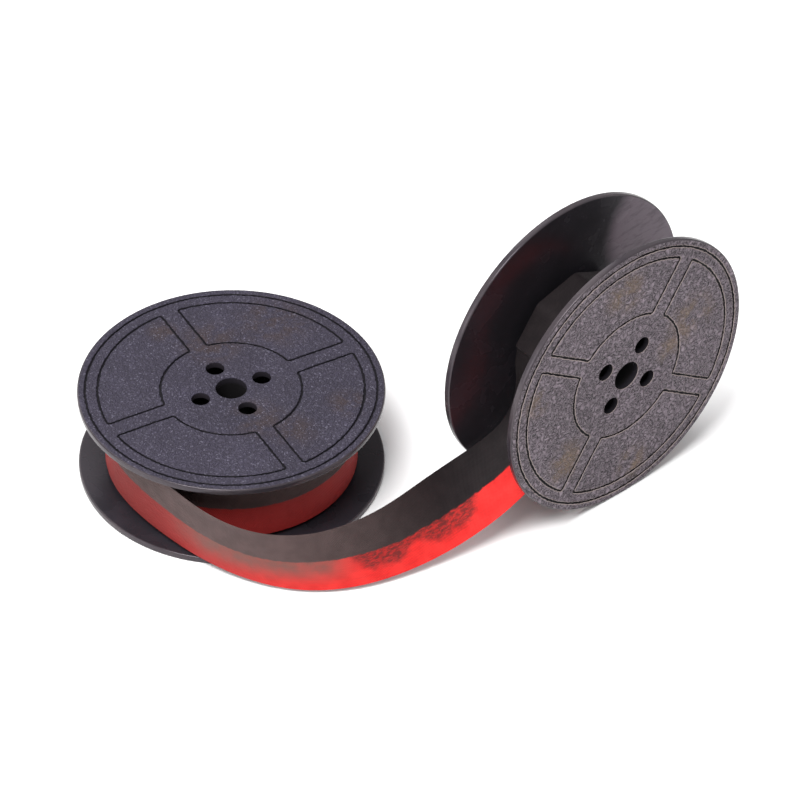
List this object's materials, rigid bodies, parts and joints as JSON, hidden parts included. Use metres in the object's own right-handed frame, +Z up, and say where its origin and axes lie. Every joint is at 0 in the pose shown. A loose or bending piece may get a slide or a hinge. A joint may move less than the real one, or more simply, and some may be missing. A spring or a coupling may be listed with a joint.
{
  "type": "typewriter ribbon spool pair",
  "caption": "Two flanged plastic ribbon spools, one lying flat and one standing on its rims, joined by a black and red inked fabric ribbon that winds from one to the other.",
  "frame": {"origin": "on the supply spool's axis, in the plane that both spools stand on", "axes": "+Z up along the supply spool's axis, +X towards the centre of the take-up spool"},
  "size_m": [0.1157, 0.0615, 0.054],
  "materials": {
    "spool_plastic": "spark-textured outside, smooth inside",
    "hub_plastic": "as moulded",
    "clip_plastic": "as moulded",
    "eyelet_brass": "pressed",
    "inked_ribbon": "woven, upper half inked black and lower half red"
  },
  "bodies": {
    "free_ribbon": {"free_ribbon": "inked_ribbon"},
    "supply_spool": {"supply_upper_flange": "spool_plastic", "supply_lower_flange": "spool_plastic", "supply_hub_barrel": "hub_plastic", "supply_spindle_sleeve": "hub_plastic", "supply_end_clip": "clip_plastic", "supply_eyelet": "eyelet_brass", "supply_ribbon_pack": "inked_ribbon"},
    "takeup_spool": {"takeup_front_flange": "spool_plastic", "takeup_back_flange": "spool_plastic", "takeup_hub_barrel": "hub_plastic", "takeup_spindle_sleeve": "hub_plastic", "takeup_end_clip": "clip_plastic", "takeup_eyelet": "eyelet_brass", "takeup_ribbon_pack": "inked_ribbon"}
  },
  "joints": [
    {"name": "supply_spin", "type": "hinge", "parent": "free_ribbon", "child": "supply_spool", "pos_m": [0, 0, 0.00865], "axis": [0, 0, 1], "continuous": true},
    {"name": "takeup_spin", "type": "hinge", "parent": "free_ribbon", "child": "takeup_spool", "pos_m": [0.063, 0, 0.027], "axis": [0.6691, -0.7431, 0], "continuous": true}
  ],
  "couplings": [
    {"joint": "takeup_spin", "follows": "supply_spin", "ratio": -1.8333}
  ]
}
